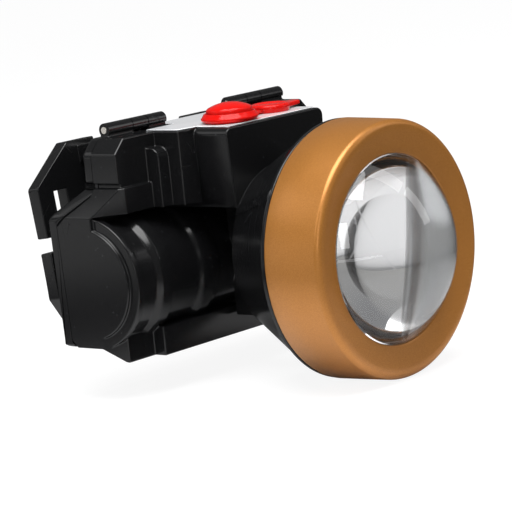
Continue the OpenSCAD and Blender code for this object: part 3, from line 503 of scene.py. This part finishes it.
# %% Clear acrylic
acrylic = material("clear_acrylic", (0.985, 0.99, 0.99), 0.015, IOR=1.56,
                   Transmission_Weight=1.0)
lens_hairs = effect(acrylic, scratches, Scale=34.0, Width=0.004)
lens_waves = effect(acrylic, waves, Scale=30.0)
between(acrylic, lens_hairs.outputs["Mask"], "Roughness", 0.012, 0.20)
bump(acrylic, lens_waves.outputs["Height"], 0.02, 0.0003)
print("finish:", acrylic.name)


# %% Metals
def metal(name, colour, roughness, scale, low, high, strength, distance):
    """A bare metal whose gloss runs from low to high roughness with a waviness."""
    made = material(name, colour, roughness, Metallic=1.0)
    made_waves = effect(made, waves, Scale=scale)
    between(made, made_waves.outputs["Height"], "Roughness", low, high)
    bump(made, made_waves.outputs["Height"], strength, distance)
    print("finish:", name)
    return made


mirror = metal("bright_reflector", (0.80, 0.81, 0.82), 0.16, 160.0, 0.10, 0.30, 0.15, 0.0006)

# %% [markdown]
# ## Small metal parts
# The hinge pins and screws are plain steel wire and rod, with turning marks too small to see one by
# one. The heat sink is turned aluminium, and the battery contacts are nickel plate.

# %% Steel, aluminium and contacts
steel = material("plain_steel", (0.62, 0.59, 0.54), 0.42, Metallic=0.6)
steel_hairs = effect(steel, scratches, Scale=300.0, Width=0.05)
steel_waves = effect(steel, waves, Scale=900.0)
between(steel, steel_hairs.outputs["Mask"], "Roughness", 0.40, 0.55)
bump(steel, steel_waves.outputs["Height"], 0.15, 0.0001)
turned = metal("turned_aluminium", (0.66, 0.67, 0.68), 0.30, 700.0, 0.24, 0.42, 0.2, 0.0001)
nickel = metal("nickel_plate", (0.70, 0.66, 0.56), 0.22, 500.0, 0.16, 0.32, 0.1, 0.0001)

# %% [markdown]
# ## Inside the lamp
# The pieces inside are seldom seen, but a lamp that is opened up should still look right. One
# helper gives each a plain finish of two near colours, and only its numbers change.


# %% Plastics and boards inside
def inner(name, colour, other, roughness, scale):
    """A plain inner finish: two near colours in fine grain, with a slight waviness."""
    made = material(name, colour, roughness)
    made_specks = effect(made, specks, Scale=scale, Amount=0.35)
    made_waves = effect(made, waves, Scale=scale * 0.4)
    between(made, made_specks.outputs["Mask"], "Base Color", colour, other)
    between(made, made_waves.outputs["Height"], "Roughness", roughness * 0.85, roughness * 1.15)
    bump(made, made_waves.outputs["Height"], 0.15, 0.0002)
    return made


dark_plastic = inner("dark_moulding", (0.03, 0.031, 0.034), (0.05, 0.05, 0.055), 0.42, 900.0)
seal_rubber = inner("seal_rubber", (0.025, 0.025, 0.027), (0.04, 0.04, 0.042), 0.7, 1200.0)
white_plastic = inner("white_moulding", (0.78, 0.78, 0.74), (0.70, 0.70, 0.66), 0.45, 900.0)
board_white = inner("white_board", (0.80, 0.80, 0.78), (0.72, 0.72, 0.70), 0.35, 1500.0)
board_green = inner("green_board", (0.015, 0.16, 0.06), (0.03, 0.24, 0.09), 0.32, 1500.0)
sleeve_blue = inner("cell_sleeve", (0.03, 0.14, 0.36), (0.05, 0.18, 0.42), 0.25, 700.0)
phosphor = inner("lamp_phosphor", (0.85, 0.72, 0.16), (0.80, 0.64, 0.10), 0.30, 1800.0)
wire_red = inner("red_wire", (0.45, 0.02, 0.015), (0.52, 0.04, 0.03), 0.4, 900.0)
wire_black = inner("black_wire", (0.02, 0.02, 0.022), (0.035, 0.035, 0.038), 0.42, 900.0)
print("materials:", len(bpy.data.materials))

# %% Finish for each node
finishes = (
    (black, "front_housing", "rear_cover", "strap_bracket"),
    (red, "button_collar", "button_cap", "port_cover", "port_cover_anchor"),
    (bronze, "bezel_ring"), (acrylic, "lens"), (mirror, "reflector"), (label, "top_label"),
    (steel, "led_screws", "cover_screws", "board_screws", "battery_spring", "hinge_pins"),
    (turned, "heat_sink"), (nickel, "battery_contacts"),
    (seal_rubber, "lens_seal", "cover_seal"),
    (white_plastic, "led_centring_ring", "switch_plunger"),
    (dark_plastic, "power_switch", "charge_socket", "board_parts"),
    (phosphor, "led_emitter"), (board_white, "led_board"), (board_green, "control_board"),
    (sleeve_blue, "battery_cell"), (wire_black, "battery_leads"), (wire_red, "led_leads"))
dressed = 0
for finish, *names in finishes:
    for name in names:
        nodes[name].data.materials.clear()
        nodes[name].data.materials.append(finish)
        dressed += 1
print("finished nodes:", dressed, "of", len(nodes))

# %% [markdown]
# ## Round shapes
# The bezel, lens, reflector and button, and the rings on the battery tube, are all round. A Screw
# modifier or a lathe add-on would do, but Spin keeps every step in our hands: half an outline is
# traced by extruding one vertex from point to point, it is spun about its axis, and the doubled
# seam is merged. Spin can turn a shape inside out, so its normals are recalculated last.


# %% Tracing and spinning
DOT_SIZE = 0.001
SEAM = 0.000004


def traced(name, points):
    clear_selection()
    bpy.ops.mesh.primitive_plane_add(size=DOT_SIZE, location=(0, 0, 0))
    piece = bpy.context.object
    piece.name = name
    bpy.ops.object.mode_set(mode="EDIT")
    bpy.ops.mesh.select_all(action="SELECT")
    bpy.ops.mesh.merge(type="CENTER")
    bpy.ops.transform.translate(value=points[0])
    for here, there in zip(points, points[1:]):
        bpy.ops.mesh.extrude_region_move(TRANSFORM_OT_translate={"value": there - here})
    bpy.ops.object.mode_set(mode="OBJECT")
    return piece


def spun(name, points, centre, axis, steps, degrees=35, angle=2 * math.pi):
    piece = traced(name, points)
    bpy.ops.object.mode_set(mode="EDIT")
    bpy.ops.mesh.select_all(action="SELECT")
    bpy.ops.mesh.spin(steps=steps, angle=angle, center=centre, axis=axis)
    bpy.ops.mesh.select_all(action="SELECT")
    bpy.ops.mesh.remove_doubles(threshold=SEAM)
    bpy.ops.mesh.fill_holes(sides=0)
    bpy.ops.mesh.normals_make_consistent(inside=False)
    bpy.ops.object.mode_set(mode="OBJECT")
    smooth(piece, degrees)
    print(name, "faces:", len(piece.data.polygons))
    return piece


def about_lens_axis(name, outline, steps=160, degrees=35):
    """outline: (radius, depth) pairs in mm, closed by its own last point."""
    points = [at(radius, y, 0) for radius, y in outline]
    return spun(name, points, at(0, 0, 0), (0, 1, 0), steps, degrees)


def arc(cx, cy, radius, start, end, steps):
    """Points on part of a circle, with its angles in degrees."""
    return [(cx + radius * math.cos(math.radians(start + (end - start) * i / steps)),
             cy + radius * math.sin(math.radians(start + (end - start) * i / steps)))
            for i in range(steps + 1)]


# %% [markdown]
# ## Softened mouldings
# A moulded case has no knife edges: each corner has a small radius, and that radius is what catches
# the light on black plastic. The model's own shape is right, so we take a copy, join its loose
# triangles, clear the needless edges on flat faces, and bevel the sharp edges that are left. A
# live Bevel modifier would stop at the shortest edge anywhere, so the edges are picked in code.
# Three kinds stay sharp: very short ones, those of the joint face between the housing and its
# cover, and the few corners where a bevel would cross itself.


# %% Softened copies
FLAT = 0.4
MERGED = 0.000002
NEAR_CORNER = 0.0004
SHADE_SHARP = 40
FACE_WEIGHT = 90


def round_edges(piece, width, segments, shortest, joint, plain):
    """Bevels the edges sharper than 25 degrees, but not those of a face that looks along joint."""
    take(piece)
    bpy.ops.object.mode_set(mode="EDIT")
    bpy.ops.mesh.select_mode(type="EDGE")
    bpy.ops.mesh.select_all(action="DESELECT")
    bpy.ops.mesh.edges_select_sharp(sharpness=math.radians(25))
    shape = bmesh.from_edit_mesh(piece.data)
    for edge in shape.edges:
        in_joint = joint and any(face.normal.dot(joint) > 0.9 for face in edge.link_faces)
        at_plain = any((vert.co - corner).length < NEAR_CORNER
                       for vert in edge.verts for corner in plain)
        if edge.select and (in_joint or at_plain or edge.calc_length() < shortest):
            edge.select = False
    shape.select_flush_mode()
    bmesh.update_edit_mesh(piece.data)
    bpy.ops.mesh.bevel(offset=width, offset_type="OFFSET", segments=segments, profile=0.5,
                       affect="EDGES", clamp_overlap=False, miter_outer="SHARP")
    bpy.ops.mesh.select_mode(type="VERT")
    bpy.ops.object.mode_set(mode="OBJECT")


def softened(node, name, width, segments=2, shortest=0.00045, joint=None, plain=(), extra=()):
    """A copy of a node with rounded edges, joined with any extra pieces on it."""
    piece = bpy.data.objects.new(name, nodes[node].data.copy())
    bpy.context.scene.collection.objects.link(piece)
    take(piece)
    bpy.ops.object.mode_set(mode="EDIT")
    bpy.ops.mesh.select_all(action="SELECT")
    bpy.ops.mesh.remove_doubles(threshold=MERGED)
    bpy.ops.mesh.dissolve_limited(angle_limit=math.radians(FLAT))
    bpy.ops.object.mode_set(mode="OBJECT")
    round_edges(piece, width, segments, shortest, joint, plain)
    take(piece)
    for part in extra:
        part.data.materials.append(piece.data.materials[0])
        part.select_set(True)
    if extra:
        bpy.ops.object.join()
    smooth(piece, SHADE_SHARP)
    modify(piece, "WEIGHTED_NORMAL", keep_sharp=True, weight=FACE_WEIGHT)
    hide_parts(node)
    print(name, "faces:", len(piece.data.polygons))
    return piece


# %% [markdown]
# ## Rings on the battery tube, and the bowl
# Two raised rings go round the front of the tube at each side. Their outer shoulder falls away in a
# soft S, which is what draws a pale band on the black. They could be cut into the housing, but it
# is simpler to spin them apart, a hair proud of the model's own rings, and join them to its shell.
# The cone behind the bezel gets a thin spun skin in the same way, so that it shades evenly.


# %% Rings and skin
def tube_ring(name, side, ring_x):
    """A ring on the front half of the battery tube, with its soft shoulder away from the middle."""
    tube_y, tube_z = 61.5, -2.3
    foot_r, root_r, crest_r = 14.6, 14.98, 15.88
    inner_edge, outer_edge = -5.53, 0.3
    slope_start, slope_length, slope_steps = -2.2, 2.5, 10
    slope = [(slope_start + slope_length * i / slope_steps,
              root_r + (crest_r - root_r) * (0.5 + 0.5 * math.cos(math.pi * i / slope_steps)))
             for i in range(slope_steps + 1)]
    outline = ([(inner_edge, foot_r), (inner_edge, 15.5)] + arc(-5.15, 15.5, 0.38, 180, 90, 4)
               + [(-3.6, crest_r)] + slope + [(outer_edge, foot_r), (inner_edge, foot_r)])
    points = [at(side * (ring_x + along), tube_y, tube_z + r) for along, r in outline]
    return spun(name, points, at(0, tube_y, tube_z), (-1, 0, 0), 50, angle=math.radians(146))


rings = [tube_ring("tube_ring", side, ring_x) for side in (-1, 1) for ring_x in (34, 19)]
bowl_skin = about_lens_axis("bowl_skin", [(30.426, 16.515), (20.426, 34.015), (19.9, 33.9),
                                          (29.9, 16.6), (30.426, 16.515)])

# %% Housing, cover, bracket, label and port cover
end_corners = [Vector((side * 0.042, 0.0225, 0.0132)) for side in (-1, 1)]
housing_shell = softened("front_housing", "housing_shell", 0.00035, joint=Vector((0, 1, 0)),
                         plain=end_corners, extra=rings + [bowl_skin])
cover_shell = softened("rear_cover", "rear_cover_shell", 0.0010, 4, shortest=0.002,
                       joint=Vector((0, -1, 0)))
bracket_shell = softened("strap_bracket", "strap_bracket_shell", 0.00035)
label_plate = softened("top_label", "label_plate", 0.00012)
flap = softened("port_cover", "port_cover_flap", 0.0003)
flap_anchor = softened("port_cover_anchor", "port_cover_tether", 0.0002)
for piece, body, slot in ((housing_shell, "housing", "black_plastic"),
                          (cover_shell, "housing", "black_plastic"),
                          (bracket_shell, "bracket", "black_plastic"),
                          (label_plate, "housing", "white_label"),
                          (flap, "cover_flap", "red_rubber"),
                          (flap_anchor, "housing", "red_rubber")):
    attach(piece, body)

# %% [markdown]
# ## Bezel
# The bezel is one turned ring. Its face is dished a little towards the lens, its front edge is a
# full round that carries the bright line, and its side widens slightly towards the rear.

# %% Bezel
bezel_outline = (
    [(22.35, 2.6), (22.35, 1.55)]
    + arc(22.75, 1.5, 0.4, 180, 262, 4)
    + [(23.6, 0.98), (24.6, 0.80), (25.6, 0.60), (26.6, 0.38), (27.6, 0.16), (28.3, 0.03)]
    + arc(28.95, 1.45, 1.45, -98, -2, 12)
    + [(30.6, 8.0), (30.78, 15.1), (30.6, 15.5), (28.85, 15.5), (28.8, 2.85), (22.6, 2.8),
       (22.35, 2.6)])
bezel = about_lens_axis("bezel", bezel_outline)
bezel.data.materials.append(bronze)
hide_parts("bezel_ring")
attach(bezel, "housing")

# %% [markdown]
# ## Lens
# The lens is a thick dome with a flat back and a flange that the bezel holds. The dome is part of a
# sphere, so its radius follows from the opening and the rise.

# %% Lens
opening_r, dome_rise = 22.1, 10.99
dome_foot_y, lens_back = 1.2, 4.8
sphere_r = (opening_r ** 2 + dome_rise ** 2) / (2 * dome_rise)
sphere_y = dome_foot_y - dome_rise + sphere_r
half_angle = math.degrees(math.asin(opening_r / sphere_r))
dome = arc(0, sphere_y, sphere_r, -90, -90 + half_angle, 40)
lens_outline = dome + [(22.2, 2.75), (28.5, 2.85), (28.6, 2.95), (28.6, lens_back - 0.1),
                       (28.5, lens_back), (0, lens_back)]
lens = about_lens_axis("lens_dome", lens_outline, steps=192, degrees=20)
lens.data.materials.append(acrylic)
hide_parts("lens")
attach(lens, "housing")
print("dome radius:", round(sphere_r, 2), "mm")

# %% [markdown]
# ## Reflector
# The reflector is a parabola with the lamp's chip at its throat. On a parabola the square of the
# radius grows evenly with the depth, which gives the points of the bowl. The same points moved
# outwards make its back.

# %% Reflector
throat_y, mouth_y, throat_r, mouth_r = 23.6, lens_back + 0.1, 4.6, 24.9
bowl_steps, bowl_wall = 40, 1.15
bowl = []
for i in range(bowl_steps + 1):
    y = mouth_y + (throat_y - mouth_y) * i / bowl_steps
    share_left = (throat_y - y) / (throat_y - mouth_y)
    bowl.append((math.sqrt(throat_r ** 2 + (mouth_r ** 2 - throat_r ** 2) * share_left), y))
bowl_back = [(r + bowl_wall, y) for r, y in reversed(bowl)]
reflector = about_lens_axis("reflector_bowl", bowl + bowl_back + [bowl[0]])
reflector.data.materials.append(mirror)
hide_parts("reflector")
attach(reflector, "housing")

# %% [markdown]
# ## Button
# The button is a soft red cap in a raised collar. Both are spun about an upright axis. The collar
# swells above the label, and the cap has a shallow, even crown and a stem that reaches the switch.

# %% Button collar and cap
button_x, button_y, label_z = -8.2, 41.0, 31.55


def about_button(name, outline):
    points = [at(button_x + r, button_y, label_z + z) for r, z in outline]
    return spun(name, points, at(button_x, button_y, 0), (0, 0, 1), steps=96)


collar_outline = (
    [(5.76, 0.02), (6.1, 0.02)] + arc(6.48, 0.95, 0.5, -60, 60, 6)
    + arc(6.0, 2.02, 0.26, 30, 90, 4) + [(5.82, 2.24), (5.76, 2.1), (5.76, 0.02)])
collar = about_button("button_collar_ring", collar_outline)
collar.data.materials.append(red)
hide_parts("button_collar")
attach(collar, "housing")

cap_outline = (
    [(0, -2.75), (2.3, -2.75), (2.38, -2.65), (2.38, 1.42), (5.55, 1.42)]
    + arc(4.68, 2.66, 0.9, 0, 60, 6) + arc(0, -6.62, 11.3, 63.2, 90, 10))
cap = about_button("button_cap_dome", cap_outline)
cap.data.materials.append(red)
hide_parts("button_cap")
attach(cap, "button")
